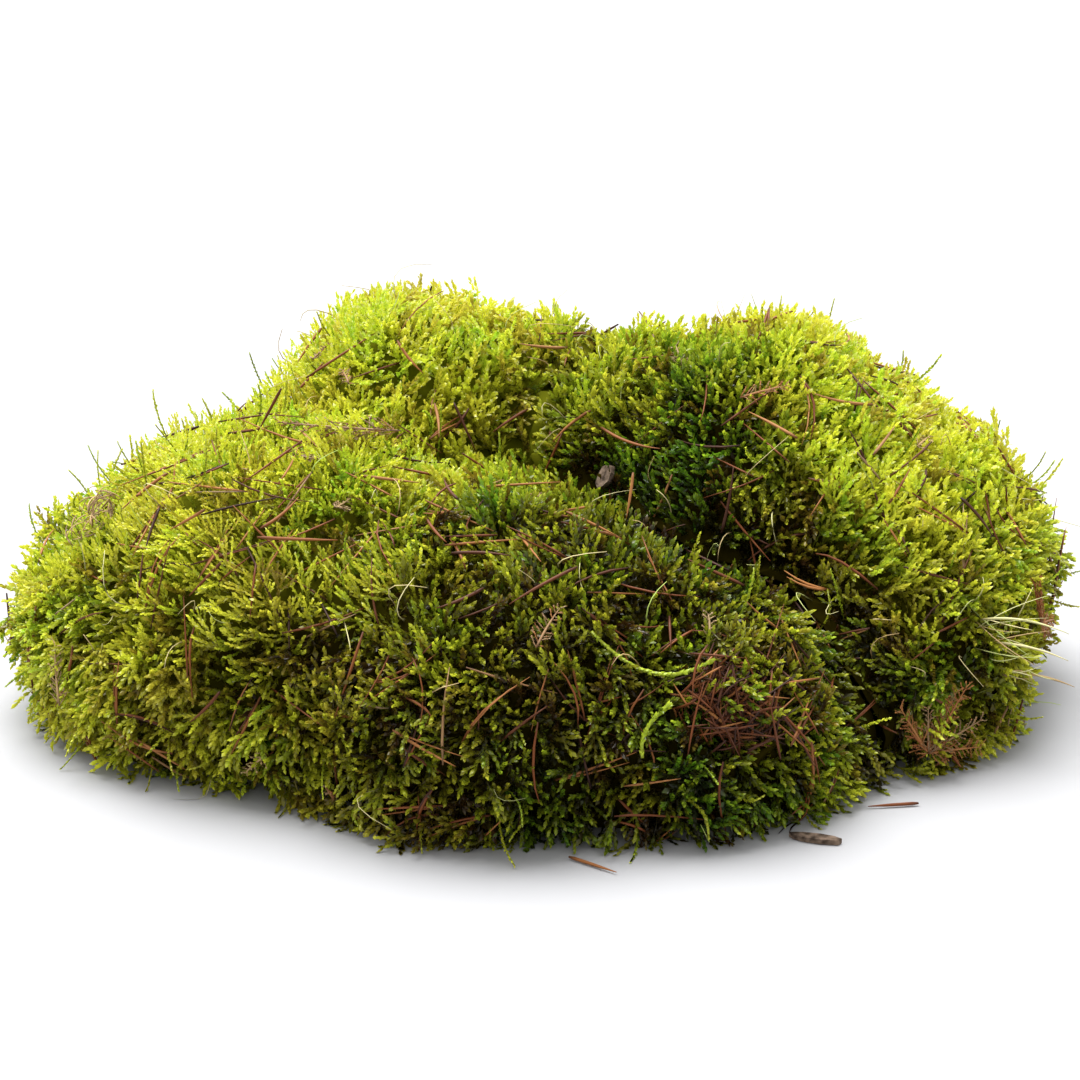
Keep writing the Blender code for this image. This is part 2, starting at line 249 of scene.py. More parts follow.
def place_leaves(batch, feet, along, outward, size, palette, crowned):
    """Leaves at their feet. Palette has (u, v) at each leaf's foot, edges, tip and crown."""
    across = np.cross(along, outward)
    frames = np.stack([across * LEAF_WIDTH, along * LEAF_LENGTH, outward * LEAF_LENGTH], axis=1)
    points = feet[:, None] + LEAF_POINTS @ (frames * size[:, None, None])
    batch.add(points[crowned], CROWNED, palette[crowned])
    batch.add(points[~crowned, :4], FOLDED, palette[~crowned, :4])


def leaf_palette(age, tint, bud_glint):
    """Palette places of leaves: their tips are a little fresher, and at the ends of shoots they reach the
    pale tip colour, which is partly a painted glint.
    """
    u = age[:, None] + np.array([-0.03, 0, 0, 0.04, 0.01]) + bud_glint[:, None] * np.array([0, 0.3, 0.3, 1, 0.5])
    v = tint[:, None] + np.array([0, -0.004, 0.004, 0, 0])
    return np.clip(np.stack([u, v], axis=2), 0.01, 0.99)


def add_leaves(batch, shoots, crowned_from=0.0):
    """Clothes shoots in leaves. Each has a curve, its leaves' count, width and lean, and palette places."""
    counts = shoots["leaves"]
    who = np.repeat(np.arange(len(counts)), counts)
    order = np.arange(len(who)) - np.repeat(np.cumsum(counts) - counts, counts)
    t = (order + 0.3) / counts[who]
    feet, axis = bezier(shoots["start"][who], shoots["bend"][who], shoots["end"][who], t)
    side = unit(np.cross(axis, unit(rng.normal(size=(len(counts), 3)))[who]))
    turn = (order * GOLDEN_TURN + rng.normal(0, 0.25, len(who)))[:, None]
    radial = side * np.cos(turn) + np.cross(axis, side) * np.sin(turn)
    lean = shoots["lean"][who] * (1 - 0.72 * smooth(t, 0.55, 1.0)) + rng.normal(0, 0.10, len(who))
    lean = lean[:, None]
    along = axis * np.cos(lean) + radial * np.sin(lean)
    outward = radial * np.cos(lean) - axis * np.sin(lean)
    size = shoots["width"][who] * (0.78 + 0.22 * np.sin(math.pi * np.clip(t, 0, 0.9)))
    size *= rng.uniform(0.85, 1.15, len(who))
    age = shoots["old"][who] + (shoots["fresh"][who] - shoots["old"][who]) * t**0.8
    age += rng.normal(0, 0.03, len(who))
    tint = shoots["tint"][who] + rng.normal(0, 0.03, len(who))
    # The last leaves of a shoot reach the pale tip colour: partly the buds' own colour and partly a painted
    # glint
    palette = leaf_palette(age, tint, 0.12 * smooth(t, 0.75, 1.0))
    place_leaves(batch, feet, along, outward, size, palette, t > crowned_from)


# The cushions' surfaces


class Skin:
    """A CAD node's surface, welded, with smooth normals. Its open faces are all but the flat base."""

    def __init__(self, name):
        mesh = nodes[name].data
        mesh.calc_loop_triangles()
        points = np.empty(3 * len(mesh.vertices))
        mesh.vertices.foreach_get("co", points)
        triangles = np.empty(3 * len(mesh.loop_triangles), np.int32)
        mesh.loop_triangles.foreach_get("vertices", triangles)
        points = points.reshape(-1, 3)
        welded = np.round(points / WELD).astype(int)
        _, first, same = np.unique(welded, axis=0, return_index=True, return_inverse=True)
        self.points = points[first]
        self.triangles = same.reshape(-1)[triangles].reshape(-1, 3)
        a, b, c = (self.points[self.triangles[:, k]] for k in range(3))
        cross = np.cross(b - a, c - a)
        self.area = np.linalg.norm(cross, axis=1) / 2
        self.open = (unit(cross)[:, 2] > -0.95) | (a[:, 2] > MM)
        normals = np.zeros_like(self.points)
        for k in range(3):
            np.add.at(normals, self.triangles[self.open, k], cross[self.open])
        for _ in range(2):
            normals = unit(normals)
            mean = np.zeros_like(normals)
            for k in range(3):
                np.add.at(mean, self.triangles[self.open, k], normals[self.triangles[self.open]].sum(axis=1))
            normals = mean
        self.normals = unit(normals)
        self.tree = BVHTree.FromPolygons(self.points.tolist(), self.triangles.tolist())

    def sample(self, count):
        """Random points with normals, away from the base."""
        chance = self.area * self.open
        face = rng.choice(len(chance), count, p=chance / chance.sum())
        root, other = np.sqrt(rng.random(count)), rng.random(count)
        weights = np.stack([1 - root, root * (1 - other), root * other], axis=1)[:, :, None]
        corners = self.triangles[face]
        points = (self.points[corners] * weights).sum(axis=1)
        return points, unit((self.normals[corners] * weights).sum(axis=1))

    def scatter(self, spacing, neighbours):
        """Evenly spread points with normals, away from the base and from where a neighbour is close."""
        points, normals = self.sample(int((self.area * self.open).sum() / spacing**2 * TRIES))
        kept, cells = [], {}
        for i, (point, normal) in enumerate(zip(points, normals)):
            x, y, z = (point // spacing).astype(int)
            around = itertools.product((x - 1, x, x + 1), (y - 1, y, y + 1), (z - 1, z, z + 1))
            near = [j for cell in around for j in cells.get(cell, ())]
            if near and np.sum((points[near] - point) ** 2, axis=1).min() < spacing**2:
                continue
            start = Vector(point + 0.3 * MM * normal)
            if any(other.tree.ray_cast(start, Vector(normal), SIDE_ROOM)[0] for other in neighbours):
                continue
            cells.setdefault((x, y, z), []).append(i)
            kept.append(i)
        return points[kept], normals[kept]


# How the moss grows in each part of the clump


def growth(points, normals, seed):
    """Growing directions: upwards on top, hanging at the foot, outwards at both ends, and in tufts."""
    place = share(points)
    high = smooth(place[:, 2], 0.2, 0.7)
    left = 1 - smooth(place[:, 0], 0.15, 0.5)
    right = smooth(place[:, 0], 0.5, 0.8)
    comb = np.stack([0.7 * right - 0.25 * left, -0.25 * (1 - high), 1.25 * high - 0.5], axis=1)
    sweep = noise_vectors(points, 0.022, seed) * 1.8
    tufts = noise_vectors(points, 0.008, seed + 10) * 1.2
    loose = rng.normal(0, 0.30, points.shape)
    direction = unit(0.5 * normals + comb * 0.75 + sweep + tufts + loose)
    short = 0.15 - np.sum(direction * normals, axis=1)
    return unit(direction + normals * np.maximum(short, 0)[:, None] * 1.3)


def pockets(points):
    """1 in the hollows between tufts, which are shallower on the tops. Sprigs there sit lower and get painted
    shade.
    """
    top = smooth(share(points)[:, 2], 0.5, 0.85)
    return smooth(noise_values(points, 0.014, 8), 0.10, 0.42) * (1 - 0.7 * top)


def closeness(points, others):
    """1 in the crease, where the other cushion is close, and 0 away from it."""
    gaps = [min(other.tree.find_nearest(Vector(point))[3] for other in others) for point in points]
    return 1 - smooth(np.array(gaps), 0.004, CREASE_WIDTH)


def painted_light_and_shade(points):
    """Painted light and shade: below 0 in the crease and at the front, where shade is painted, and over 1 on
    the tops at the back, where light is painted.
    """
    place = share(points)
    top = smooth(place[:, 2], 0.30, 0.85)
    left = 1 - smooth(place[:, 0], 0.35, 0.65)
    crease = crease_shade(points)
    front = np.exp(-(((place[:, 0] - 0.48) / 0.24) ** 2)) * (1 - smooth(place[:, 1], 0.25, 0.5))
    back = top * smooth(place[:, 1], 0.45, 0.8)
    right = smooth(place[:, 0], 0.62, 0.8)
    # Lighter on the tops, more so at the left, the right and the back, and darker in the crease and at the
    # front: painted light and shade, with a little random change
    fresh = 0.24 + (0.44 * left + 0.10 * right) * (1 - top) + top * (0.64 + 0.18 * left + 0.40 * right)
    fresh += 0.38 * back - 1.1 * crease - 0.85 * front
    fresh += 0.35 * noise_values(points, 0.018, 9)
    return np.clip(fresh, -0.5, 1.4)


def crease_shade(points):
    """1 in the deep crease between the cushions, where the moss is deep green and little light comes in."""
    place = share(points)
    return np.exp(-(((place[:, 0] - 0.62) / 0.12) ** 2) - ((place[:, 1] - 0.5) / 0.25) ** 2)


def spikiness(points):
    """1 where the shoots stand thin and erect: high up at the left."""
    place = share(points)
    left = 1 - smooth(place[:, 0], 0.18, 0.5)
    return np.clip(left * smooth(place[:, 2], 0.3, 0.7) + 0.25 * noise_values(points, 0.03, 5), 0, 1)


def tints(points):
    """Palette rows: 0 is brownish olive, 0.5 yellow-green and 1 deep green."""
    place = share(points)
    front = 1 - smooth(place[:, 1], 0.1, 0.45)
    low = front * smooth(place[:, 0], 0.4, 0.55) * (1 - smooth(place[:, 2], 0.25, 0.5))
    patch = noise_values(points, 0.022, 2) * 0.42 + noise_values(points, 0.007, 3) * 0.25
    return np.clip(0.46 + 0.28 * crease_shade(points) - 0.06 * front + 0.25 * low + patch, 0.05, 0.95)


def grow(batch, points, normals, layer, near=0.0):
    """Sprigs whose tips are near the points: a stem with side shoots in a fan. Near is 1 in the crease, where
    shade is painted.
    """
    count = len(points)
    forward = growth(points, normals, layer.seed)
    spiky = spikiness(points)
    tint = tints(points)
    hollow = pockets(points)
    low = 1 - smooth(points[:, 2], 0, FOOT_HEIGHT)
    lift = noise_values(points, 0.012, 4) * 0.0030 + rng.normal(0, 0.0010, count) - layer.depth
    lift += 0.0030 * low - 0.0042 * hollow - 0.0015 * near
    # bright is the painted light and shade, with more painted shade in the crease
    bright = painted_light_and_shade(points) - 0.8 * near
    # Leaves start lower on the palette, so darker, in the hollows: painted shade. The painted light and shade
    # raises or lowers them everywhere
    age = layer.age - 0.22 * hollow + layer.gain * bright
    tint = tint + rng.normal(0, 0.10, count)
    dead = rng.random(count) < DEAD_SHARE * (1 + 8 * smooth(noise_values(points, 0.012, 16), 0.25, 0.5))
    age[dead] -= 0.25
    tint[dead] = 0.02
    # Where light is painted, the foot of a sprig is nearly as light as its tip
    drop = 0.42 - 0.34 * np.maximum(bright, 0)
    tip = points + normals * lift[:, None]
    reach = SPRIG_LENGTH * rng.uniform(0.85, 1.15, count)
    root = tip - (0.55 * forward + 0.45 * normals) * reach[:, None]
    elbow = root + normals * (0.5 * reach)[:, None]
    spread = unit(np.cross(forward, unit(rng.normal(size=(count, 3)))))
    tall = (0.0070 + 0.003 * spiky) * rng.uniform(0.8, 1.15, count)
    neck = bezier(root, elbow, tip, 1 - tall / reach)[0]
    main = {"start": neck, "bend": (neck + tip) / 2 + (elbow - (root + tip) / 2) * 0.15, "end": tip}
    groups = [dress(main, tall, spiky, tint, age, drop, layer, 1.0)]
    for k in range(layer.fingers):
        back = (0.0022 + 0.0017 * k) * rng.uniform(0.85, 1.15, count)
        start, axis = bezier(root, elbow, tip, 1 - back / reach)
        hand = 1 if k % 2 else -1
        angle = np.radians(rng.uniform(32, 58, count)) * (1 - 0.4 * spiky)
        aside = unit(spread * hand + rng.normal(0, 0.35, (count, 3)))
        heading = unit(axis * np.cos(angle)[:, None] + aside * np.sin(angle)[:, None])
        length = (0.0040 + 0.0011 * k) * rng.uniform(0.75, 1.25, count)
        end = start + (0.75 * heading + 0.25 * axis) * length[:, None]
        side = {"start": start, "bend": start + heading * (0.5 * length)[:, None], "end": end}
        groups.append(dress(side, length, spiky, tint, age - 0.015 * k, drop, layer, 0.92))
    shoots = {key: np.concatenate([group[key] for group in groups]) for key in groups[0]}
    add_leaves(batch, shoots, layer.crowned_from)
    steps = np.array((0, 0.45, 0.9))
    stems = np.stack([bezier(root, elbow, tip, np.full(count, t))[0] for t in steps], axis=1)
    width = np.tile((0.00034, 0.00028, 0.00018), (count, 1))
    # Stems lighten towards the tip and take the painted light and shade as well
    age = 0.06 + 0.3 * steps + 0.3 * bright[:, None]
    places = np.stack([age, np.repeat(tint[:, None], 3, axis=1)], axis=2)
    add_tubes(batch, stems, width, np.clip(places, 0.01, 0.99))


def dress(shoot, length, spiky, tint, age, drop, layer, scale):
    """The leafy look of some shoots: how many leaves, how wide, and where they start on the palette."""
    count = len(length)
    shoot["leaves"] = np.maximum(4, np.round(length / layer.leaf_step)).astype(int)
    shoot["width"] = scale * layer.leaf_scale * (1 - 0.30 * spiky) * rng.uniform(0.85, 1.12, count)
    shoot["lean"] = np.radians(rng.uniform(23, 34, count)) * (1 - 0.30 * spiky)
    shoot["fresh"] = np.clip(age + 0.08 * spiky + rng.normal(0, 0.08, count), 0.1, 0.85)
    shoot["old"] = shoot["fresh"] - drop
    shoot["tint"] = np.clip(tint + rng.normal(0, 0.08, count), 0.02, 0.98)
    return shoot


# Materials


def new_material(name, roughness, specular=0.5):
    material = bpy.data.materials.new(name)
    material.use_nodes = True
    shader = material.node_tree.nodes["Principled BSDF"]
    shader.inputs["Roughness"].default_value = roughness
    shader.inputs["Specular IOR Level"].default_value = specular
    return material, material.node_tree, shader


def add_ramp(tree, source, stops):
    ramp = tree.nodes.new("ShaderNodeValToRGB")
    elements = ramp.color_ramp.elements
    while len(elements) < len(stops):
        elements.new(0.5)
    for element, (place, colour) in zip(elements, stops):
        element.position = place
        element.color = (*colour, 1)
    tree.links.new(source, ramp.inputs["Fac"])
    return ramp.outputs["Color"]


def mixed(tree, factor, first, second):
    mix = tree.nodes.new("ShaderNodeMix")
    mix.data_type = "RGBA"
    tree.links.new(factor, mix.inputs["Factor"])
    tree.links.new(first, mix.inputs["A"])
    tree.links.new(second, mix.inputs["B"])
    return mix.outputs["Result"]


# Colours of the palette's rows (v), for old leaves, grown leaves and fresh tips
OLD = [(0.0, (0.040, 0.018, 0.003)), (0.5, (0.036, 0.028, 0.003)), (1.0, (0.014, 0.024, 0.003))]
GROWN = [(0.0, (0.28, 0.215, 0.017)), (0.5, (0.31, 0.345, 0.015)), (1.0, (0.10, 0.235, 0.010))]
FRESH = [(0.0, (0.66, 0.60, 0.06)), (0.5, (0.76, 0.79, 0.055)), (1.0, (0.38, 0.60, 0.028))]
# Pale tips: partly the buds' own colour and partly a painted glint
PALE_GLINT = (0.85, 0.85, 0.42)


# Rows (v) of the palette of dead and dry pieces: conifer needles, then stalks, then threads and blades
DRY = [
    (0.0, (0.014, 0.006, 0.004)), (0.15, (0.055, 0.016, 0.006)), (0.32, (0.160, 0.044, 0.010)),
    (0.46, (0.340, 0.140, 0.040)), (0.55, (0.220, 0.150, 0.080)), (0.68, (0.480, 0.320, 0.140)),
    (0.82, (0.560, 0.520, 0.260)), (1.0, (0.340, 0.450, 0.090)),
]
LIT_THROUGH = 0.45


def palette_places(tree):
    """Sockets of u and v on the palette."""
    places = tree.nodes.new("ShaderNodeUVMap")
    places.uv_map = PALETTE
    split = tree.nodes.new("ShaderNodeSeparateXYZ")
    tree.links.new(places.outputs["UV"], split.inputs["Vector"])
    return split.outputs["X"], split.outputs["Y"]


def leaf_material(name, roughness, specular):
    """Thin leaves that glow when lit from behind."""
    material, tree, shader = new_material(name, roughness, specular)
    age, row = palette_places(tree)
    colour, grown, fresh = (add_ramp(tree, row, stops) for stops in (OLD, GROWN, FRESH))
    pale = tree.nodes.new("ShaderNodeRGB")
    pale.outputs[0].default_value = (*PALE_GLINT, 1)
    for low, high, above in ((0.08, 0.5, grown), (0.5, 0.85, fresh), (0.9, 0.99, pale.outputs[0])):
        rise = add_ramp(tree, age, [(low, (0, 0, 0)), (high, (1, 1, 1))])
        colour = mixed(tree, rise, colour, above)
    tree.links.new(colour, shader.inputs["Base Color"])
    glow = tree.nodes.new("ShaderNodeBsdfTranslucent")
    tree.links.new(colour, glow.inputs["Color"])
    both = tree.nodes.new("ShaderNodeMixShader")
    both.inputs["Fac"].default_value = LIT_THROUGH
    tree.links.new(shader.outputs["BSDF"], both.inputs[1])
    tree.links.new(glow.outputs["BSDF"], both.inputs[2])
    tree.links.new(both.outputs["Shader"], tree.nodes["Material Output"].inputs["Surface"])
    return material


def dry_material():
    """Needles, stalks and threads: their row gives the colour, and they darken towards the foot."""
    material, tree, shader = new_material("dry_bits", 0.55, 0.25)
    along, row = palette_places(tree)
    shade = tree.nodes.new("ShaderNodeMix")
    shade.data_type = "RGBA"
    shade.blend_type = "MULTIPLY"
    shade.inputs["Factor"].default_value = 1
    tree.links.new(add_ramp(tree, row, DRY), shade.inputs["A"])
    tree.links.new(add_ramp(tree, along, [(0.0, (0.35, 0.30, 0.28)), (0.25, (1, 1, 1))]), shade.inputs["B"])
    tree.links.new(shade.outputs["Result"], shader.inputs["Base Color"])
    return material


def speckled_material(name, dark, light, scale, roughness, stretch=(1, 1, 1), bump=0.0):
    """A dry, uneven surface: two colours mixed by noise, with a little relief."""
    material, tree, shader = new_material(name, roughness, 0.2)
    places = tree.nodes.new("ShaderNodeTexCoord")
    stretched = tree.nodes.new("ShaderNodeMapping")
    stretched.inputs["Scale"].default_value = stretch
    speckle = tree.nodes.new("ShaderNodeTexNoise")
    speckle.inputs["Scale"].default_value = scale
    speckle.inputs["Detail"].default_value = 6
    tree.links.new(places.outputs["Object"], stretched.inputs["Vector"])
    tree.links.new(stretched.outputs["Vector"], speckle.inputs["Vector"])
    colour = add_ramp(tree, speckle.outputs["Fac"], [(0.35, dark), (0.65, light)])
    tree.links.new(colour, shader.inputs["Base Color"])
    if bump:
        relief = tree.nodes.new("ShaderNodeBump")
        relief.inputs["Distance"].default_value = bump
        tree.links.new(speckle.outputs["Fac"], relief.inputs["Height"])
        tree.links.new(relief.outputs["Normal"], shader.inputs["Normal"])
    return material


# Pieces


def make_shade_mat(name, skin, others, material):
    """The tangle under the shoots, its darkness painted shade in the gaps between them: the CAD skin drawn
    in, except where cushions touch, and roughened.
    """
    meets = np.array([
        any(other.tree.ray_cast(Vector(p - n * MM), Vector(n), SIDE_ROOM + MM)[0] for other in others)
        for p, n in zip(skin.points, skin.normals)
    ])
    depth = np.where(meets, 0, MAT_DEPTH)
    inner = skin.points - skin.normals * depth[:, None]
    inner += skin.normals * (noise_values(skin.points, 0.006, 6) * 0.002)[:, None]
    flat = skin.points[:, 2] < 0.0005
    inner[flat, 2] = FLOOR_CLEARANCE
    # The sheet is darkest at the front and in the crease and lighter on the tops: painted light and shade
    u = 0.02 + 0.24 * np.clip(painted_light_and_shade(skin.points), 0, 1)
    batch = Batch()
    batch.add(inner[None], skin.triangles, np.stack([u, np.full(len(u), 0.5)], axis=1)[None])
    return batch.build(name, material, [name.replace("_mat", "")])


def make_moss(leaf, mat):
    """Sprigs of both cushions, in pieces by their place from left to right."""
    left, right = Skin("left_cushion"), Skin("right_cushion")
    cushions = (("left_cushion", left, [right], LEFT_PARTS), ("right_cushion", right, [left], RIGHT_PARTS))
    for name, skin, others, parts in cushions:
        make_shade_mat(f"{name}_mat", skin, others, mat)
        layers = [(layer, *skin.scatter(layer.spacing, others)) for layer in (OUTER, INNER)]
        nears = [closeness(points, others) for _, points, _ in layers]
        edges = np.quantile(layers[0][1][:, 0], np.linspace(0, 1, parts + 1))
        edges[0], edges[-1] = -1, 1
        for k in range(parts):
            batch = Batch()
            for (layer, points, normals), near in zip(layers, nears):
                here = (points[:, 0] >= edges[k]) & (points[:, 0] < edges[k + 1])
                grow(batch, points[here], normals[here], layer, near[here])
            batch.build(f"{name}_shoots_{k + 1}", leaf, [name])
    return left, right


NEEDLE_TAPER = ((0, 0.08, 0.6, 1), (0.6, 1, 0.9, 0.25))


def along_tube(count, stations, rows):
    """Palette places of tubes: u runs from foot to tip, v is each tube's row."""
    u = np.tile(np.linspace(0.02, 0.98, stations), (count, 1))
    return np.stack([u, np.repeat(rows[:, None], stations, axis=1)], axis=2)


def add_needles(batch, paths, radii, rows, sides=5):
    """Tapered needles; a path's first point is the needle's foot."""
    count, stations = paths.shape[:2]
    taper = np.interp(np.linspace(0, 1, stations), *NEEDLE_TAPER)
    add_tubes(batch, paths, radii[:, None] * taper, along_tube(count, stations, rows), sides)


def curved(start, bend, end, stations):
    """Points along quadratic curves, as (curves, stations, 3)."""
    steps = np.linspace(0, 1, stations)
    return np.stack([bezier(start, bend, end, np.full(len(start), t))[0] for t in steps], axis=1)


def middle_line(name, stations, bends=2):
    """The middle line of a thin solid, smoothed."""
    points = np.array([vertex.co for vertex in nodes[name].data.vertices])
    centre = points.mean(axis=0)
    axis = np.linalg.svd(points - centre)[2][0]
    along = (points - centre) @ axis
    curve = np.polyfit(along, points, bends)
    t = np.linspace(along.min(), along.max(), stations)[:, None]
    return sum(term * t ** (bends - i) for i, term in enumerate(curve))


def flat_on(normals, turn_noise=0.2):
    """Random directions that lie along the surface, nearly."""
    heading = rng.normal(size=normals.shape)
    heading -= normals * np.sum(heading * normals, axis=1)[:, None]
    return unit(unit(heading) + normals * rng.normal(0, turn_noise, len(normals))[:, None])


def fallen(points, normals, lengths, sink):
    """Curves of needles that lie on the moss."""
    heading = flat_on(normals)
    middle = points + normals * (rng.uniform(-0.5, 1.0, len(points)) * MM - sink)[:, None]
    half = heading * lengths[:, None] / 2
    bow = flat_on(normals, 0.5) * (lengths * 0.30 * rng.random(len(points)) ** 2)[:, None]
    return middle - half, middle + bow, middle + half


def needle_share(points):
    """How likely a loose needle is to have come to rest here."""
    place = share(points)
    front = np.exp(-(((place[:, 0] - 0.5) / 0.28) ** 2)) * (1 - smooth(place[:, 1], 0.2, 0.6))
    right = smooth(place[:, 0], 0.65, 0.85)
    return 0.18 + 0.9 * front + 0.30 * right + 0.5 * np.clip(noise_values(points, 0.02, 12) * 3, 0, 1)


def make_needles(skins, material):
    """The needles with a solid of their own, then many loose ones, some of them still in pairs."""
    for name in sorted(nodes):
        if name.startswith("conifer_needle"):
            batch = Batch()
            path = middle_line(name, 9)
            if rng.random() < 0.5:
                path = path[::-1]
            add_needles(batch, path[None], np.array([NEEDLE_RADIUS]), rng.uniform(0.08, 0.5, 1), 6)
            batch.build(f"{name}_looks", material, [name])
    for label, skin, count in zip(("left", "right"), skins, LOOSE_NEEDLES):
        points, normals = skin.sample(count * 4)
        chance = needle_share(points)
        chosen = rng.choice(len(points), count, replace=False, p=chance / chance.sum())
        lengths = rng.uniform(0.009, 0.024, count)
        start, bend, end = fallen(points[chosen], normals[chosen], lengths, 0.0006)
        twins = rng.random(count) < TWIN_SHARE
        swing = flat_on(normals[chosen]) * (0.16 * lengths)[:, None]
        start, bend, end = (
            np.concatenate([line, line[twins] + swing[twins] * k])
            for line, k in ((start, 0), (bend, 0.5), (end, 1.0))
        )
        radii = rng.uniform(*THIN_NEEDLES, len(start))
        rows = np.clip(rng.normal(0.30, 0.12, len(start)), 0.05, 0.58)
        batch = Batch()
        add_needles(batch, curved(start, bend, end, 5), radii, rows)
        batch.build(f"{label}_loose_needles", material, [f"{label}_cushion"])


def make_litter(material, core, leaf):
    """The pocket of old needles: a dark core drawn in, and needles that spill out of it into the moss."""
    pad = Skin("needle_litter")
    batch = Batch()
    drawn_in = pad.points - pad.normals * LITTER_SINK
    batch.add(drawn_in[None], pad.triangles, np.full((1, len(drawn_in), 2), 0.05))
    batch.build("litter_core", core, ["needle_litter"])
    points, normals = pad.sample(LITTER_NEEDLES)
    middle = points.mean(axis=0)
    reach = rng.uniform(0.3, 1.35, (LITTER_NEEDLES, 1)) * (1 + noise_values(points, 0.008, 14))[:, None]
    points = middle + (points - middle) * reach
    points -= normals * (LITTER_SINK * rng.uniform(-0.1, 1.2, (LITTER_NEEDLES, 1)))
    normals = unit(normals + LITTER_FACES)
    lengths = rng.uniform(0.006, 0.015, LITTER_NEEDLES)
    start, bend, end = fallen(points, normals, lengths, 0.0004)
    radii = rng.uniform(0.00022, 0.00040, LITTER_NEEDLES)
    rows = np.clip(rng.normal(0.23, 0.11, LITTER_NEEDLES), 0.03, 0.48)
    batch = Batch()
    add_needles(batch, curved(start, bend, end, 5), radii, rows)
    batch.build("litter_needles", material, ["needle_litter"])
    points, normals = pad.sample(LITTER_SPRIGS)
    batch = Batch()
    grow(batch, points, unit(normals + LITTER_FACES), OUTER)
    batch.build("litter_moss", leaf, ["needle_litter"])


def dress_node(name, material):
    """Gives a CAD node its material."""
    mesh = nodes[name].data
    mesh.materials.clear()
    mesh.materials.append(material)
    mesh.polygons.foreach_set("use_smooth", np.ones(len(mesh.polygons), bool))


def add_feather(batch, stem, out, row):
    """A dead feathery sprig that lies flat: a thin stem, with leafy twigs to both sides."""
    length = np.linalg.norm(stem[-1] - stem[0])
    axis = unit(stem[-1] - stem[0])
    count = int(length / TWIG_STEP)
    t = (np.arange(count) + rng.uniform(0, 0.8, count)) / count
    feet = np.stack([np.interp(t, np.linspace(0, 1, len(stem)), stem[:, k]) for k in range(3)], axis=1)
    aside = np.cross(out, axis) * np.where(np.arange(count) % 2, 1, -1)[:, None]
    heading = unit(aside + axis * rng.uniform(0.5, 1.3, (count, 1)) + rng.normal(0, 0.25, (count, 3)))
    reach = (0.20 * length * (1 - 0.7 * t) + 0.0012) * rng.uniform(0.7, 1.2, count)
    ends = feet + heading * reach[:, None]
    bends = feet + (heading * 0.5 + out * rng.normal(0, 0.12, (count, 1))) * reach[:, None]
    rows = rng.normal(row, 0.03, count)
    add_needles(batch, curved(feet, bends, ends, 4), np.full(count, TWIG_RADIUS), rows, 3)
    add_needles(batch, stem[None], np.array([STEM_RADIUS]), np.array([row]), 5)
    twigs = {
        "start": feet, "bend": bends, "end": ends,
        "leaves": np.maximum(2, np.round(reach / 0.0006)).astype(int),
        "width": np.full(count, WITHERED), "lean": np.full(count, 0.6),
        "fresh": np.full(count, 0.8), "old": np.full(count, 0.5), "tint": rows,
    }
    add_leaves(batch, twigs, 1.0)


def make_dry_sprigs(skins, material):
    """The dead sprigs with solids of their own, then small ones scattered over the cushions."""
    for name, row in DRY_SPRIG_ROWS.items():
        skin = Skin(name)
        out = np.linalg.svd(skin.points - skin.points.mean(axis=0))[2][2]
        stem = middle_line(name, 9)
        if stem[0, 2] > stem[-1, 2]:
            stem = stem[::-1]
        batch = Batch()
        add_feather(batch, stem, out, row)
        for _ in range(SPRAYS.get(name, 0)):
            turn = np.array(Matrix.Rotation(rng.uniform(-1.3, 1.3), 3, Vector(out)))
            tilt = np.linspace(0, 0.006, len(stem))[:, None] * out * rng.uniform(-0.3, 0.5)
            twin = stem[0] + ((stem - stem[0]) @ turn.T + tilt) * rng.uniform(0.5, 0.95)
            add_feather(batch, twin, out, row + rng.uniform(-0.06, 0.14))
        batch.build(f"{name}_looks", material, [name])
    for label, skin, count in zip(("left", "right"), skins, SMALL_SPRIGS):
        points, normals = skin.sample(count)
        start, bend, end = fallen(points, normals, rng.uniform(0.006, 0.013, count), 0.0)
        batch = Batch()
        for stem, out in zip(curved(start, bend, end, 6), normals):
            add_feather(batch, stem, out, rng.uniform(0.42, 0.70))
        batch.build(f"{label}_small_sprigs", material, [f"{label}_cushion"])


def make_loose_shoots(leaf):
    """Long pale shoots of moss that hang over the front."""
    for name in ("loose_shoot_1", "loose_shoot_2"):
        path = middle_line(name, 12, 3)
        count = len(path) - 1
        shoots = {
            "start": path[:-1], "bend": (path[:-1] + path[1:]) / 2, "end": path[1:],
            "leaves": np.full(count, 10), "width": np.linspace(0.65, 0.9, count),
            "lean": np.full(count, 0.5), "fresh": np.full(count, 0.80), "old": np.full(count, 0.74),
            "tint": np.full(count, 0.75),
        }
        batch = Batch()
        add_leaves(batch, shoots)
        add_tubes(batch, path[None], np.full((1, len(path)), 0.00045), np.full((1, len(path), 2), 0.6))
        batch.build(f"{name}_looks", leaf, [name])


def make_blades(material):
    """Dry grass blades, and thin pale stems that fan out from the foot of each."""
    for name, row in BLADE_ROWS.items():
        path = middle_line(name, 12)
        if path[0, 0] > path[-1, 0]:
            path = path[::-1]
        batch = Batch()
        add_needles(batch, path[None], np.array([BLADE_RADIUS]), np.array([row]), 4)
        length = np.linalg.norm(path[-1] - path[0])
        heading = unit(unit(path[-1] - path[0]) + rng.normal(0, 0.28, (FAN_STEMS, 3)))
        start = path[0] - 0.003 * heading + rng.normal(0, 0.0015, (FAN_STEMS, 3))
        end = start + heading * (length * rng.uniform(0.5, 1.0, (FAN_STEMS, 1)))
        bend = (start + end) / 2 + rng.normal(0, 0.0022, (FAN_STEMS, 3))
        rows = rng.uniform(0.64, 0.98, FAN_STEMS)
        radii = rng.uniform(0.00012, 0.00022, FAN_STEMS)
        add_needles(batch, curved(start, bend, end, 7), radii, rows, 3)
        batch.build(f"{name}_looks", material, [name])


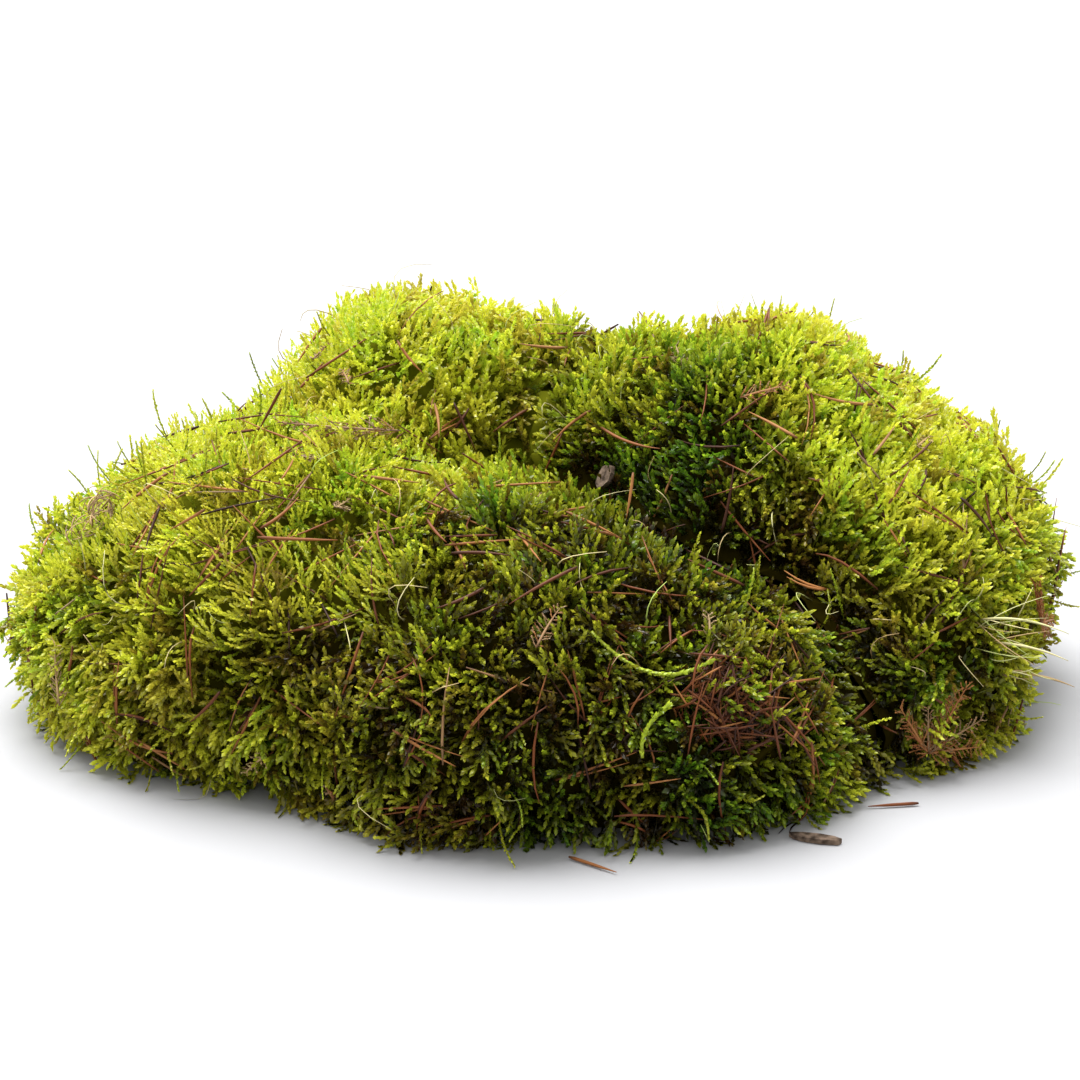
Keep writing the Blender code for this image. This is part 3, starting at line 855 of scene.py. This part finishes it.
def make_threads(skins, material):
    """Thin curling threads and stalks that stand out of the moss."""
    for label, skin, count in zip(("left", "right"), skins, THREADS):
        points, normals = skin.sample(count)
        upward = unit(normals * 0.7 + np.array([0, 0, 0.8]) * rng.uniform(0, 1, (count, 1)))
        lengths = rng.uniform(0.008, 0.020, count)
        start = points - normals * 0.002
        bend = start + (upward + 0.5 * rng.normal(size=(count, 3))) * (0.5 * lengths)[:, None]
        heading = unit(upward + flat_on(normals) * rng.uniform(0.6, 1.8, (count, 1)))
        end = start + heading * (0.8 * lengths)[:, None]
        rows = rng.uniform(0.66, 1.0, count)
        radii = rng.uniform(0.00011, 0.00020, (count, 1)) * np.array([1, 1, 0.9, 0.8, 0.7, 0.5])
        batch = Batch()
        add_tubes(batch, curved(start, bend, end, 6), radii, along_tube(count, 6, rows))
        batch.build(f"{label}_threads", material, [f"{label}_cushion"])


def make_wisps(skins, leaf):
    """Slender single shoots that stand out of the cushions or hang down at the foot, most at the two ends."""
    for label, skin, count in zip(("left", "right"), skins, WISPS):
        points, normals = skin.sample(5 * count)
        place = share(points)
        chance = 0.15 + np.abs(place[:, 0] - 0.5) ** 2 * 4 + (place[:, 2] < 0.2) * 0.4
        chosen = rng.choice(len(points), count, replace=False, p=chance / chance.sum())
        points, normals, low = points[chosen], normals[chosen], place[chosen, 2] < 0.25
        rise = np.where(low, -0.5, 0.9)[:, None] * np.array([0, 0, 1.0])
        lengths = rng.uniform(0.008, 0.016, count)
        start = points - normals * 0.004
        bend = start + unit(normals + 0.4 * rng.normal(size=(count, 3))) * (0.55 * lengths)[:, None]
        heading = unit(normals * 0.5 + rise + 0.5 * rng.normal(size=(count, 3)))
        end = bend + heading * (0.55 * lengths)[:, None]
        wisps = {
            "start": start, "bend": bend, "end": end,
            "leaves": np.round(lengths / 0.0005).astype(int),
            "width": rng.uniform(0.42, 0.75, count), "lean": rng.uniform(0.4, 0.6, count),
            "fresh": rng.uniform(0.62, 0.85, count), "old": rng.uniform(0.4, 0.6, count),
            "tint": rng.uniform(0.3, 0.8, count),
        }
        batch = Batch()
        add_leaves(batch, wisps, 0.6)
        stems = np.stack([np.full((count, 5), 0.55), np.repeat(wisps["tint"][:, None], 5, axis=1)], axis=2)
        add_tubes(batch, curved(start, bend, end, 5), np.full((count, 5), 0.00020), stems)
        batch.build(f"{label}_wisps", leaf, [f"{label}_cushion"])


def make_husk(material):
    """Curled dry fibres that fray from the dead leaf."""
    skin = Skin("dead_leaf")
    points, normals = skin.sample(HUSK_FIBRES)
    lengths = rng.uniform(0.004, 0.009, HUSK_FIBRES)
    start, bend, end = fallen(points, normals, lengths, -0.0002)
    bend = bend + normals * (0.35 * lengths)[:, None]
    batch = Batch()
    rows = rng.uniform(0.52, 0.70, HUSK_FIBRES)
    add_needles(batch, curved(start, bend, end, 6), rng.uniform(0.00010, 0.00024, HUSK_FIBRES), rows, 4)
    batch.build("dead_leaf_fibres", material, ["dead_leaf"])


def make_camera():
    data = bpy.data.cameras.new("camera")
    data.lens = LENS
    data.sensor_width = SENSOR
    camera = bpy.data.objects.new("camera", data)
    bpy.context.scene.collection.objects.link(camera)
    back = Vector((0, -math.cos(CAMERA_RISE), math.sin(CAMERA_RISE)))
    camera.location = Vector((0, 0, TARGET_HEIGHT)) + back * CAMERA_DISTANCE
    camera.rotation_euler = (-back).to_track_quat("-Z", "Y").to_euler()
    bpy.context.scene.camera = camera


def add_sun(name, energy, towards, width):
    data = bpy.data.lights.new(name, "SUN")
    data.energy = energy
    data.angle = width
    light = bpy.data.objects.new(name, data)
    light.rotation_euler = Vector(towards).to_track_quat("Z", "Y").to_euler()
    bpy.context.scene.collection.objects.link(light)


def make_studio():
    """A pale floor, a large soft light from above and behind, and a little light from all round."""
    mesh = bpy.data.meshes.new("floor")
    corners = [(x * FLOOR_HALF, y * FLOOR_HALF, 0) for x, y in ((-1, -1), (1, -1), (1, 1), (-1, 1))]
    mesh.from_pydata(corners, [], [(0, 1, 2, 3)])
    floor = bpy.data.objects.new("floor", mesh)
    bpy.context.scene.collection.objects.link(floor)
    material, _, shader = new_material("pale_floor", 0.9, 0.2)
    shader.inputs["Base Color"].default_value = (*FLOOR_COLOUR, 1)
    mesh.materials.append(material)
    floor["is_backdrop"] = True
    add_sun("overhead", 5.7, (-0.20, 0.30, 1.0), math.radians(45))
    add_sun("behind", 2.6, (-0.35, 1.0, 0.65), math.radians(120))
    world = bpy.data.worlds.new("studio")
    world.use_nodes = True
    background = world.node_tree.nodes["Background"]
    background.inputs["Color"].default_value = (1, 1, 1, 1)
    background.inputs["Strength"].default_value = ROOM_LIGHT
    bpy.context.scene.world = world
    bpy.context.scene.view_settings.view_transform = "Standard"


make_camera()
make_studio()
leaves = leaf_material("moss_leaves", 0.33, 0.5)
# A dark sheet under the shoots, whose darkness is the painted shade in the gaps
shade_mat_material = leaf_material("moss_mat", 1.0, 0.0)
dry = dry_material()
bark = speckled_material("bark", (0.035, 0.022, 0.014), (0.20, 0.14, 0.10), 500, 0.85, bump=0.0006)
dead = speckled_material("dead_leaf", (0.22, 0.12, 0.05), (0.55, 0.38, 0.21), 500, 0.8, (1, 1, 4), 0.0004)
core = speckled_material("litter_core", (0.010, 0.004, 0.002), (0.06, 0.022, 0.010), 900, 0.9, bump=0.0006)
both_skins = make_moss(leaves, shade_mat_material)
make_needles(both_skins, dry)
make_litter(dry, core, leaves)
make_dry_sprigs(both_skins, dry)
make_loose_shoots(leaves)
make_blades(dry)
make_threads(both_skins, dry)
make_wisps(both_skins, leaves)
make_husk(dry)
for name, material in (("bark_flake", bark), ("bark_sliver", bark), ("dead_leaf", dead)):
    dress_node(name, material)
